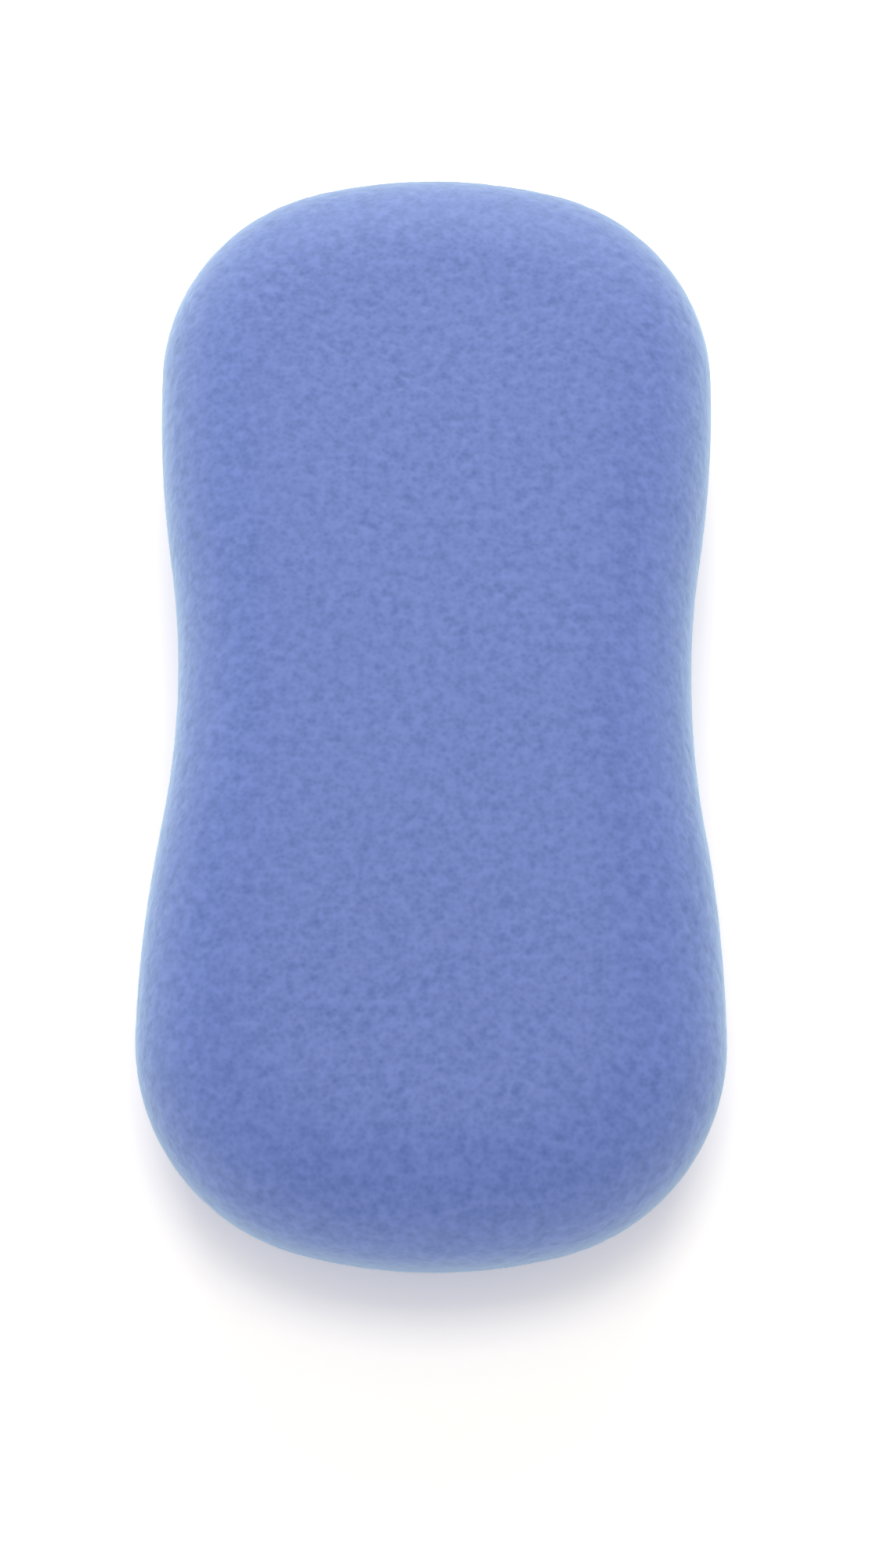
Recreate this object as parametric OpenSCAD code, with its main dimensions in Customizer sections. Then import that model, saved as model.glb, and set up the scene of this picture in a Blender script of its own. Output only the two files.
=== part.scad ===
// Facial sponge: one solid pad of soft open-cell foam, waisted half way along,
// with a flat face, a flat underside and a full round edge all the way round.
// Millimetres. Origin under the middle of the pad, on its underside.
// +Z up, +Y along the length, X across the width.

/* [Outline] */
// Overall length of the pad, from end to end
length = 128; // [100:1:160]
// Width of the pad across each lobe, its widest places
lobe_w = 64; // [50:1:80]
// How far each side draws in at the waist, half way along
waist_in = 3.1; // [2:0.1:5]
// Radius of the outline across each end
end_r = 57; // [45:1:90]
// Radius of the outline round each of the four corners
corner_r = 24; // [20:0.5:28]
// Radius of the hollow in each side at the waist
waist_r = 100; // [60:1:120]

/* [Section] */
// Thickness of the pad; the round edge is half of it
thick = 24; // [16:0.5:30]

/* [Hidden] */

// The edge is a half circle from the underside to the face.
edge_r = thick / 2;

// One quarter of the outline, on the +X +Y side, is four arcs that run
// smoothly into each other: waist, flank, corner and end.
end_y = length / 2 - end_r;
corner_x = lobe_w / 2 - corner_r;
lobe_y = end_y + sqrt(pow(end_r - corner_r, 2) - pow(corner_x, 2));
waist_x = lobe_w / 2 - waist_in + waist_r;
flank_r = (pow(waist_in, 2) + pow(lobe_y, 2)) / (2 * waist_in) - waist_r;
flank_x = lobe_w / 2 - flank_r;

// Directions in which one arc hands over to the next
flank_a = atan2(lobe_y, waist_x - flank_x);
end_a = atan2(lobe_y - end_y, corner_x);

// Steps along each arc, and round the section of the edge
waist_steps = 4;
flank_steps = 7;
corner_steps = 13;
end_steps = 4;
edge_steps = 14;

// How far the rim reaches in under the flat face, where the middle meets it
rim_lap = (corner_r - edge_r) / 2;

// Points of an arc, each [x, y, outward x, outward y]. The last point is left
// to the next arc. turn is 1 where the outline bulges and -1 where it is hollow.
function arc(cx, cy, r, a0, a1, steps, turn) = [
    for (i = [0 : steps - 1])
        let (a = a0 + (a1 - a0) * i / steps)
            [cx + r * cos(a), cy + r * sin(a), turn * cos(a), turn * sin(a)]
];

// The quarter from the waist up to the middle of the end, without that last point
quarter = concat(
    arc(waist_x, 0, waist_r, 180, 180 - flank_a, waist_steps, -1),
    arc(flank_x, lobe_y, flank_r, -flank_a, 0, flank_steps, 1),
    arc(corner_x, lobe_y, corner_r, 0, end_a, corner_steps, 1),
    arc(0, end_y, end_r, end_a, 90, end_steps, 1)
);
quarter_count = len(quarter);
end_point = [0, length / 2, 0, 1];

function flipped(points, sx, sy) = [
    for (p = points) [p[0] * sx, p[1] * sy, p[2] * sx, p[3] * sy]
];
// The same points from last to first, without the first
function back(points) = [for (i = [len(points) - 1 : -1 : 1]) points[i]];

// The whole outline, anticlockwise from the waist on the +X side
outline = concat(
    quarter,
    [end_point],
    back(flipped(quarter, -1, 1)),
    flipped(quarter, -1, -1),
    flipped([end_point], 1, -1),
    back(flipped(quarter, 1, -1))
);
count = len(outline);

// Section of the rim at one outline point: the half circle from the underside
// up to the face, then the inner wall.
function section(p) = concat(
    [
        for (j = [0 : edge_steps])
            let (t = -90 + 180 * j / edge_steps, in = edge_r * (1 - cos(t)))
                [p[0] - p[2] * in, p[1] - p[3] * in, edge_r + edge_r * sin(t)]
    ],
    [
        for (z = [thick, 0])
            [p[0] - p[2] * (edge_r + rim_lap), p[1] - p[3] * (edge_r + rim_lap), z]
    ]
);
ring = edge_steps + 3;

// The rounded rim, all the way round
module rim() {
    polyhedron(
        points = [for (p = outline) each section(p)],
        faces = [
            for (i = [0 : count - 1], j = [0 : ring - 1])
                let (
                    a = i * ring + j,
                    b = i * ring + (j + 1) % ring,
                    c = ((i + 1) % count) * ring + (j + 1) % ring,
                    d = ((i + 1) % count) * ring + j
                )
                    each [[a, b, c], [a, c, d]]
        ]
    );
}

// The flat middle of the pad, which ends half way across the rim's lap
module middle() {
    inset = edge_r + rim_lap / 2;
    linear_extrude(height = thick)
        polygon([for (p = outline) [p[0] - p[2] * inset, p[1] - p[3] * inset]]);
}

module sponge() {
    color("#7686c2") union() {
        rim();
        middle();
    }
}

sponge();
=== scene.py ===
# %% [markdown]
# # A face-washing sponge
#
# The real thing is one pad of soft polyurethane foam, dyed blue right through.
# It has no cover and no seam. What the eye sees is the foam's own surface of
# small open cells, and a pale bloom where light grazes the round edge.
# This lesson works the pad out with numpy as one closed surface, sinks cells
# into it, gives the foam its finish and lights it softly.

# %% Load the frame
import math

import bmesh
import bpy
import numpy as np
from mathutils import Matrix, Vector


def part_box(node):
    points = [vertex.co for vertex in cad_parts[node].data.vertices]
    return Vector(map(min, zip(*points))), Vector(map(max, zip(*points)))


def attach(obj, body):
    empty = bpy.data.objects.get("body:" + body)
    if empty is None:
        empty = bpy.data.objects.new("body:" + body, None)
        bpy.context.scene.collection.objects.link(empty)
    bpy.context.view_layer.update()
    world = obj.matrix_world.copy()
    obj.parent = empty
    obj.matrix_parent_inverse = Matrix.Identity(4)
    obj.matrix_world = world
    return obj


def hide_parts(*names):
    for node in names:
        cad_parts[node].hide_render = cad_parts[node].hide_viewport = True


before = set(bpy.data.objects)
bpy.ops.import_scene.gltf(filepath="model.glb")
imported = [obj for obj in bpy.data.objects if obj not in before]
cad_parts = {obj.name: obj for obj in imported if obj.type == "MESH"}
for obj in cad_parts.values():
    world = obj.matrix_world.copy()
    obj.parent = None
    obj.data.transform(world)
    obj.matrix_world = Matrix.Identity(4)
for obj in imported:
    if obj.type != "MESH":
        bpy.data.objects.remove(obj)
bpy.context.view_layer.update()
low, high = (np.array(corner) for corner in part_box("sponge"))
size = high - low
MM = 0.001
print("The pad's box in mm:", np.round(size / MM, 2))

# %% [markdown]
# ## The camera
#
# The pad lies on a table and is looked at from its near end, from a steep
# height. A lens of about 67 mm, from a third of a metre away, makes the far
# lobe look a little smaller than the near one, though both are the same size.
# The camera could be turned by hand in the viewport. Worked out from its
# height and the point that it looks at, it is easy to move and to repeat.

# %% The camera
CAMERA_ELEVATION = math.radians(70.0)
CAMERA_DISTANCE = 328.0 * MM
CAMERA_AIM = Vector((0.94, -9.81, 12.0)) * MM
CAMERA_ROLL = 0.016  # radians
CAMERA_CLIP = 10.0 * MM
LENS_MM = 66.97

middle = Vector((0.0, 0.0, size[2] / 2))
towards_camera = Vector((0.0, -math.cos(CAMERA_ELEVATION), math.sin(CAMERA_ELEVATION)))
eye = middle + CAMERA_DISTANCE * towards_camera
back = (eye - CAMERA_AIM).normalized()
right = Vector((0.0, 0.0, 1.0)).cross(back).normalized()
up = back.cross(right)
turn = Matrix((right, up, back)).transposed() @ Matrix.Rotation(CAMERA_ROLL, 3, "Z")

camera_data = bpy.data.cameras.new("camera")
camera_data.lens = LENS_MM
camera_data.clip_start = CAMERA_CLIP
camera = bpy.data.objects.new("camera", camera_data)
camera.matrix_world = Matrix.Translation(eye) @ turn.to_4x4()
bpy.context.scene.collection.objects.link(camera)
bpy.context.scene.camera = camera
print("Camera at", [round(v / MM, 1) for v in eye], "mm")

# %% [markdown]
# ## Colours and nodes
#
# Colours are written as sRGB hex values, and the shader wants linear ones, so
# one function turns them. One more function adds a node, sets its values and
# joins its inputs, which keeps each material a short list.


# %% Helpers for colour and nodes
def linear(hex_colour):
    """Turns each channel c of an sRGB colour linear.

    It is c / 12.92 near black, and ((c + 0.055) / 1.055) to the power 2.4 above.
    """
    c = np.array([int(hex_colour[i : i + 2], 16) / 255 for i in (1, 3, 5)])
    c = np.where(c <= 0.04045, c / 12.92, ((c + 0.055) / 1.055) ** 2.4)
    return (*c.tolist(), 1.0)


def add(tree, kind, settings=None, **inputs):
    """Adds a node. settings are its own properties.

    Each input is a value or the socket that feeds it. Its name is the
    socket's with _ for spaces, or _ and the socket's number.
    """
    node = tree.nodes.new(kind)
    for name, value in (settings or {}).items():
        setattr(node, name, value)
    for name, value in inputs.items():
        numbered = name[0] == "_" and name[1:].isdigit()
        key = int(name[1:]) if numbered else name.replace("_", " ")
        if isinstance(value, bpy.types.NodeSocket):
            tree.links.new(value, node.inputs[key])
        else:
            node.inputs[key].default_value = value
    return node


def new_material(name):
    """An empty node material and its tree."""
    material = bpy.data.materials.new(name)
    material.use_nodes = True
    material.node_tree.nodes.clear()
    return material, material.node_tree


print("Middle grey #808080 is linear", round(linear("#808080")[0], 3))

# %% [markdown]
# ## The light
#
# Foam shows best in a light tent: white cloth all round, brightest low down,
# so that the sides and the round edge get as much light as the face. The left
# wall is a little brighter than the right, as when the lamp outside stands
# nearer to it. The tent could be real planes of cloth. A world that depends
# on direction gives the same light with less noise. What looks straight at
# the cloth sees plain white.

# %% Light tent
bpy.context.scene.view_settings.view_transform = "Standard"
TENT_TOP, TENT_WALL = 0.48, 3.11  # strength overhead and at the horizon
TENT_WALL_RISE = 0.35  # the direction's height, 0 to 1, where the wall has become the top
TENT_LEAN = (-0.56, -0.04, 0.0)  # the wall gives more towards -X
WHITE = (1.0, 1.0, 1.0, 1.0)

world = bpy.data.worlds.new("light_tent")
world.use_nodes = True
bpy.context.scene.world = world
tree = world.node_tree
tree.nodes.clear()
direction = add(tree, "ShaderNodeTexCoord").outputs["Object"]
height = add(tree, "ShaderNodeSeparateXYZ", _0=direction).outputs["Z"]
lean = add(tree, "ShaderNodeVectorMath", {"operation": "DOT_PRODUCT"}, _0=direction, _1=TENT_LEAN)
wall = add(tree, "ShaderNodeMath", {"operation": "ADD"}, _0=lean.outputs["Value"], _1=TENT_WALL)
cloth = add(
    tree,
    "ShaderNodeMapRange",
    {"interpolation_type": "SMOOTHSTEP"},
    Value=height,
    From_Min=0.0,
    From_Max=TENT_WALL_RISE,
    To_Min=wall.outputs[0],
    To_Max=TENT_TOP,
)
path = add(tree, "ShaderNodeLightPath").outputs
either = {"operation": "MAXIMUM"}
seen = add(tree, "ShaderNodeMath", either, _0=path["Is Camera Ray"], _1=path["Is Glossy Ray"])
seen = add(tree, "ShaderNodeMath", either, _0=seen.outputs[0], _1=path["Is Transmission Ray"])
lit = add(tree, "ShaderNodeBackground", Color=WHITE, Strength=cloth.outputs[0])
white = add(tree, "ShaderNodeBackground", Color=WHITE, Strength=1.0)
mixed = add(tree, "ShaderNodeMixShader", _0=seen.outputs[0], _1=lit.outputs[0], _2=white.outputs[0])
add(tree, "ShaderNodeOutputWorld", Surface=mixed.outputs[0])
print("Tent strength: wall", TENT_WALL, "and top", TENT_TOP)

# %% [markdown]
# ## Two lamps
#
# Two soft lamps hang behind the far end. The low one lets the face fall off
# gently towards the near end and throws the only shadow, a short one, there.
# The high one fills the face from above and keeps that shadow light.


# %% Lamps
def soft_lamp(name, elevation, distance, width, depth, watts):
    """A rectangular lamp behind the far end, turned to the pad.

    It stands at middle + distance * (0, cos e, sin e) for its elevation e in degrees.
    """
    data = bpy.data.lights.new(name, "AREA")
    data.shape = "RECTANGLE"
    data.size = width
    data.size_y = depth
    data.energy = watts
    lamp = bpy.data.objects.new(name, data)
    e = math.radians(elevation)
    place = middle + distance * Vector((0.0, math.cos(e), math.sin(e)))
    facing = (place - middle).to_track_quat("Z", "Y").to_matrix()
    lamp.matrix_world = Matrix.Translation(place) @ facing.to_4x4()
    bpy.context.scene.collection.objects.link(lamp)
    return lamp


lamps = [
    soft_lamp("back_lamp", elevation=34, distance=0.45, width=0.4, depth=0.2, watts=0.85),
    soft_lamp("top_lamp", elevation=79, distance=0.6, width=0.3, depth=0.2, watts=0.70),
]
for lamp in lamps:
    print(lamp.name, "at", [round(v, 3) for v in lamp.matrix_world.translation], "m")

# %% [markdown]
# ## The table
#
# A matt white table. For the camera alone it gives back nearly twice what
# paint could, as an over-exposed backdrop does. So it turns pure white away
# from the pad and still holds the soft shadow beside it. Stronger lamps would
# whiten it too, but they would bleach the foam.

# %% Table
PAINT = (0.83, 0.82, 0.80, 1.0)
OVER_EXPOSED = (0.71, 0.66, 0.58, 1.0)
BLACK = (0.0, 0.0, 0.0, 1.0)
TABLE_HALF = 0.7  # metres from the middle to each side

material, tree = new_material("white_table")
path = add(tree, "ShaderNodeLightPath").outputs
matt = add(tree, "ShaderNodeBsdfDiffuse", Color=PAINT)
extra = add(
    tree,
    "ShaderNodeMix",
    {"data_type": "RGBA"},
    _0=path["Is Camera Ray"],
    _6=BLACK,
    _7=OVER_EXPOSED,
)
bright = add(tree, "ShaderNodeBsdfDiffuse", Color=extra.outputs[2])
both = add(tree, "ShaderNodeAddShader", _0=matt.outputs[0], _1=bright.outputs[0])
add(tree, "ShaderNodeOutputMaterial", Surface=both.outputs[0])

mesh = bpy.data.meshes.new("table")
corners = [(TABLE_HALF * x, TABLE_HALF * y, 0) for x, y in ((-1, -1), (1, -1), (1, 1), (-1, 1))]
mesh.from_pydata(corners, [], [(0, 1, 2, 3)])
mesh.materials.append(material)
table = bpy.data.objects.new("table", mesh)
bpy.context.scene.collection.objects.link(table)
print("Table", 2 * TABLE_HALF, "m square")

# %% [markdown]
# ## The outline of the pad
#
# The pad is stamped from a block with a waisted die, so its outline is a few
# arcs that run smoothly into each other: a hollow at the waist, a nearly
# straight flank, a round corner and a flat arc across the end. A curve drawn
# by hand would do too, but arcs need six sizes and keep every joint smooth.

# %% Outline
END_R, CORNER_R, WAIST_R, WAIST_IN = 57 * MM, 24 * MM, 100 * MM, 3.1 * MM
OUTLINE_STEP = 0.53 * MM  # about how far apart its points are
half_w, half_l, half_t = size / 2
end_y = half_l - END_R
corner_x = half_w - CORNER_R
lobe_y = end_y + math.sqrt((END_R - CORNER_R) ** 2 - corner_x**2)
waist_x = half_w - WAIST_IN + WAIST_R
flank_r = (WAIST_IN**2 + lobe_y**2) / (2 * WAIST_IN) - WAIST_R
flank_x = half_w - flank_r
flank_a = math.atan2(lobe_y, waist_x - flank_x)
end_a = math.atan2(lobe_y - end_y, corner_x)


def arc(centre, radius, start, stop, outward, step):
    """Points at centre + radius * (cos a, sin a) for angles a from start to stop.

    They are about step apart, and their normals are outward * (cos a, sin a).
    """
    count = max(2, round(radius * abs(stop - start) / step))
    a = np.linspace(start, stop, count, endpoint=False)
    ring = np.stack([np.cos(a), np.sin(a)], 1)
    return np.array(centre) + radius * ring, outward * ring


def outline(step):
    """The four arcs of one quarter, from the waist to the end, and its mirror images.

    Returns the points and their normals, anticlockwise.
    """
    arcs = [
        arc((waist_x, 0), WAIST_R, math.pi, math.pi - flank_a, -1, step),
        arc((flank_x, lobe_y), flank_r, -flank_a, 0, 1, step),
        arc((corner_x, lobe_y), CORNER_R, 0, end_a, 1, step),
        arc((0, end_y), END_R, end_a, math.pi / 2, 1, step),
    ]
    quarter = [np.concatenate(part) for part in zip(*arcs)]
    tip = [np.array([(0, half_l)]), np.array([(0, 1)])]
    half = [np.concatenate([q, t, q[:0:-1] * (-1, 1)]) for q, t in zip(quarter, tip)]
    return [np.concatenate([h, -h]) for h in half]


edge_p, edge_n = outline(OUTLINE_STEP)
print("Outline points:", len(edge_p))

# %% [markdown]
# ## The surface of the pad
#
# One grid covers the pad. Its rows run round the outline, and its columns run
# from the middle of the underside, out and round the edge, to the middle of
# the face. The edge is a superellipse. It is a third deeper than a half
# circle of the same height and a shade fuller, so it leaves the flat face
# softly, as cut foam does. A rounded box could be sculpted to this shape, but
# a grid follows the outline exactly and has points as close together as the
# cells need.

# %% Surface
EDGE_DEPTH, EDGE_POWER = 16.0 * MM, 2.4
EDGE_STEPS, FACE_STEPS = 70, 33  # steps round the edge, and across each face


def pad_surface(edge_p, edge_n, edge_steps, face_steps):
    """Carries one column of points round the outline.

    A column starts on the middle line of the underside and runs straight out
    to a core line EDGE_DEPTH inside the outline. Round the edge, with a from
    -90 to 90 degrees, it stands off the core by
    EDGE_DEPTH * cos(a) ** (2 / EDGE_POWER), and off mid height by
    half_t * sin(a) ** (2 / EDGE_POWER). Then it runs straight in on the face.
    """
    core = edge_p - EDGE_DEPTH * edge_n
    spine_half = np.abs(core[:, 1]).max() - np.abs(core[:, 0]).max()
    spine_y = np.clip(core[:, 1], -spine_half, spine_half)
    spine = np.stack([np.zeros(len(core)), spine_y], 1)
    t = np.linspace(0, 1, face_steps, endpoint=False)
    flat = spine + (core - spine) * t[:, None, None]
    a = np.linspace(-math.pi / 2, math.pi / 2, edge_steps + 1)
    power = 2 / EDGE_POWER
    rise = np.sign(a) * np.abs(np.sin(a)) ** power
    stand = np.clip(np.cos(a), 0, 1) ** power
    rim = core + EDGE_DEPTH * stand[:, None, None] * edge_n
    xy = np.concatenate([flat, rim, flat[::-1]])
    level = np.concatenate([np.full(face_steps, -1.0), rise, np.full(face_steps, 1.0)])
    z = np.broadcast_to(half_t * (1 + level)[:, None, None], (*xy.shape[:2], 1))
    return np.concatenate([xy, z], 2)


def grid_normals(grid):
    """The cross product of the steps to the neighbours along and across the rows.

    Each is brought to length 1.
    """
    along = np.roll(grid, -1, 1) - np.roll(grid, 1, 1)
    across = np.gradient(grid, axis=0)
    normal = np.cross(along, across)
    return normal / np.maximum(np.linalg.norm(normal, axis=2, keepdims=True), 1e-12)


grid = pad_surface(edge_p, edge_n, EDGE_STEPS, FACE_STEPS)
normals = grid_normals(grid)
normals[:FACE_STEPS] = (0, 0, -1)  # the flat rows need no cross product, and
normals[-FACE_STEPS:] = (0, 0, 1)  # have none where they meet on the middle line
print("Grid of", grid.shape[0], "rows of", grid.shape[1], "points")

# %% [markdown]
# ## Cells in the surface
#
# Foam is a froth of bubbles, and the knife that cuts it opens those it meets.
# So bubbles are scattered through space, one to each small cube, at a place
# and with a radius picked by mixing the cube's numbers. Where the surface
# passes inside a bubble it sinks, deepest near the bubble's centre. A
# displacement modifier could sink it too, but bubbles in space stay round on
# the edge as on the face. Only the larger cells are cut into the mesh. The
# finest are left to the material. A slow wave on top keeps the faces from
# being as true as a machined plate.


# %% Bubbles and waves
def mixed_number(cube, salt):
    """A number from 0 to 1, always the same for one cube and one salt.

    The cube's three whole numbers are multiplied by odd constants and added,
    and the sum is stirred by shifts.
    """
    c = cube.astype(np.int64).astype(np.uint32)
    h = c[..., 0] * np.uint32(374761393)
    h = h + c[..., 1] * np.uint32(668265263)
    h = h + c[..., 2] * np.uint32(2246822519)
    h = h + np.uint32(salt * 40503 + 977)
    h = (h ^ (h >> np.uint32(13))) * np.uint32(1274126177)
    h = (h ^ (h >> np.uint32(15))) * np.uint32(2654435761)
    return (h ^ (h >> np.uint32(16))) / 2.0**32


def bubble_depth(points, pitch, smallest, largest):
    """(1 - (d / r) ** 2) ** 1.5 at distance d from the centre of a bubble of radius r.

    It is 0 outside the bubble, it is weighed by r / largest, and the greatest
    of all bubbles in the 27 cubes around counts.
    """
    home = np.floor(points / pitch)
    depth = np.zeros(points.shape[:-1])
    for step in np.ndindex(3, 3, 3):
        cube = home + (np.array(step) - 1)
        offset = np.stack([mixed_number(cube, salt) for salt in (1, 2, 3)], -1)
        centre = (cube + offset) * pitch
        radius = smallest + (largest - smallest) * mixed_number(cube, 4)
        inside = np.maximum(0, 1 - ((points - centre) ** 2).sum(-1) / radius**2)
        depth = np.maximum(depth, inside**1.5 * radius / largest)
    return depth


def wave(points, pitch, salt):
    """Mixed heights from -1 to 1 at the corners of cubes.

    They are eased from corner to corner by t * t * (3 - 2 * t).
    """
    home = np.floor(points / pitch)
    t = points / pitch - home
    t = t * t * (3 - 2 * t)
    total = np.zeros(points.shape[:-1])
    for corner in np.ndindex(2, 2, 2):
        share = np.where(np.array(corner) == 1, t, 1 - t).prod(-1)
        total += share * (2 * mixed_number(home + np.array(corner), salt) - 1)
    return total


CELL_PITCH, SMALLEST, LARGEST = 1.15 * MM, 0.35 * MM, 0.85 * MM  # cube side and radii
CELL_DEPTH = 0.1 * MM
WAVE_PITCH, WAVE_DEPTH = 17 * MM, 0.08 * MM
WAVE_SALT = 5

cells = bubble_depth(grid, CELL_PITCH, SMALLEST, LARGEST)
waves = wave(grid, WAVE_PITCH, WAVE_SALT)
sink = CELL_DEPTH * cells + WAVE_DEPTH * (1 + waves)
print("Open cells cover", round(float((cells > 0).mean()), 2), "of the surface")
print("The deepest point is sunk", round(float(sink.max() / MM), 2), "mm")

# %% [markdown]
# ## The mesh
#
# The grid closes on itself along its rows, and its first and last rows fold
# onto a line in the middle of each face. Points that meet there are merged,
# which leaves one closed skin, as the real pad has.

# %% Mesh
MERGE_WITHIN = 0.03 * MM


def grid_mesh(name, grid):
    """Joins each point to its neighbours in a grid whose rows close on themselves."""
    rows, columns = grid.shape[:2]
    index = np.arange(rows * columns).reshape(rows, columns)
    onward = np.roll(index, -1, 1)
    quads = np.stack([index[:-1], onward[:-1], onward[1:], index[1:]], -1).reshape(-1, 4)
    mesh = bpy.data.meshes.new(name)
    mesh.vertices.add(rows * columns)
    mesh.vertices.foreach_set("co", grid.reshape(-1))
    mesh.loops.add(quads.size)
    mesh.loops.foreach_set("vertex_index", quads.reshape(-1))
    mesh.polygons.add(len(quads))
    mesh.polygons.foreach_set("loop_start", np.arange(0, quads.size, 4))
    mesh.update(calc_edges=True)
    return mesh


pad_mesh = grid_mesh("sponge_pad", grid - sink[..., None] * normals)
opened = pad_mesh.attributes.new("open_cell", "FLOAT", "POINT")
opened.data.foreach_set("value", cells.reshape(-1))

skin = bmesh.new()
skin.from_mesh(pad_mesh)
bmesh.ops.remove_doubles(skin, verts=skin.verts, dist=MERGE_WITHIN)
bmesh.ops.recalc_face_normals(skin, faces=skin.faces)
open_edges = sum(len(edge.link_faces) != 2 for edge in skin.edges)
volume = skin.calc_volume(signed=True)
skin.to_mesh(pad_mesh)
skin.free()
pad_mesh.polygons.foreach_set("use_smooth", np.ones(len(pad_mesh.polygons), bool))
pad = bpy.data.objects.new("sponge_pad", pad_mesh)
bpy.context.scene.collection.objects.link(pad)
pad_mesh.calc_loop_triangles()
print("Triangles:", len(pad_mesh.loop_triangles), "and edges without two faces:", open_edges)
print("Volume in ml:", round(volume * 1e6, 1))

# %% [markdown]
# ## The foam
#
# Open-cell polyurethane foam, dyed in the mass and cut. Light goes a little
# way in and comes back softly, so it is matt, with no clear highlight.
# Its fine cell walls stand like nap, and at a grazing view they bloom pale:
# that is the sheen. The face is mottled where cells of many sizes lie open,
# and painted darker where cells and patches lie deeper: painted shade.
# Light scattered inside the foam could be worked out in full, but that takes
# longer to render and changes little on a pad this thick. So the colour is
# the foam's own blue with that painted shade, and the sheen stands for the
# light in its walls.

# %% Patterns of the foam
FINE_CELL_MM = 0.62  # the finest cells that are left to the material
MOTTLE_MM = 1.2  # patches of two or three cells that lie deeper or higher
FINE_SOFTNESS = 0.3  # how far a cell wall blends into the next


def shade_part(tree, source, low_value, high_value, low_shade, high_shade):
    """Carries a pattern's values low_value to high_value in a straight line to shades."""
    part = add(
        tree,
        "ShaderNodeMapRange",
        {"clamp": False},
        Value=source,
        From_Min=low_value,
        From_Max=high_value,
        To_Min=low_shade,
        To_Max=high_shade,
    )
    return part.outputs[0]


material, tree = new_material("polyurethane_foam")
place = add(tree, "ShaderNodeTexCoord").outputs["Object"]
fine = add(
    tree,
    "ShaderNodeTexVoronoi",
    {"feature": "SMOOTH_F1"},
    Vector=place,
    Scale=1 / (FINE_CELL_MM * MM),
    Smoothness=FINE_SOFTNESS,
)
mottle = add(
    tree,
    "ShaderNodeTexNoise",
    Vector=place,
    Scale=1 / (MOTTLE_MM * MM),
    Detail=2.0,
    Roughness=0.45,
)
cell = add(tree, "ShaderNodeAttribute", {"attribute_name": "open_cell"})
print("Foam with fine cells of", FINE_CELL_MM, "mm and mottling of", MOTTLE_MM, "mm")

# %% Shade of the foam, from 0 for the deepest to 1 for the palest, with painted shade where it lies deeper
# the patterns give tone that varies at random, and the same values set the bump, so lower spots are
# also painted darker: painted shade
fine_tone_and_shade = shade_part(tree, fine.outputs["Distance"], 0.25, 0.65, -0.12, 0.12)
mottle_tone_and_shade = shade_part(tree, mottle.outputs["Fac"], 0.3, 0.7, 0.18, 0.82)
# painted shade: the colour darkens where the mesh's cells are sunk deepest
painted_cell_shade = shade_part(tree, cell.outputs["Fac"], 0.0, 0.7, 0.12, -0.12)
shade = add(tree, "ShaderNodeMath", {"operation": "ADD"}, _0=fine_tone_and_shade, _1=mottle_tone_and_shade)
shade = add(tree, "ShaderNodeMath", {"operation": "ADD"}, _0=shade.outputs[0], _1=painted_cell_shade)
print("The mottling sets most of the shade, and the cells move it by an eighth each way")

# %% Foam
SHADED_DEEP, PALE = "#4a62aa", "#687cc5"  # the foam's blue in a deep cell, darkened with painted shade, and on the cell walls
BLOOM = "#d4f0ff"  # the dye shows faintly even in the bloom
BUMP_MM = 0.12
colour = add(
    tree,
    "ShaderNodeMix",
    {"data_type": "RGBA"},
    _0=shade.outputs[0],
    _6=linear(SHADED_DEEP),
    _7=linear(PALE),
)
bump = add(
    tree,
    "ShaderNodeBump",
    Height=shade.outputs[0],
    Distance=BUMP_MM * MM,
    Strength=0.35,
)
foam = add(
    tree,
    "ShaderNodeBsdfPrincipled",
    Base_Color=colour.outputs[2],
    Roughness=0.5,
    Specular_IOR_Level=0.49,
    Sheen_Weight=1.0,
    Sheen_Roughness=0.53,
    Sheen_Tint=linear(BLOOM),
    Normal=bump.outputs[0],
)
add(tree, "ShaderNodeOutputMaterial", Surface=foam.outputs[0])
pad_mesh.materials.append(material)
print("Foam from", SHADED_DEEP, "to", PALE)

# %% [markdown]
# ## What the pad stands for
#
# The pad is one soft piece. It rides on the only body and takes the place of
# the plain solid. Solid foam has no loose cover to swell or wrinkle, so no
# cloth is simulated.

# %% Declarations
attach(pad, "root")
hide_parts("sponge")
print(pad.name, "stands for the solid")

# %% [markdown]
# ## The sizes
#
# The box of the plain solid was printed after loading.

# %% Sizes
print("The pad's box was printed after loading")
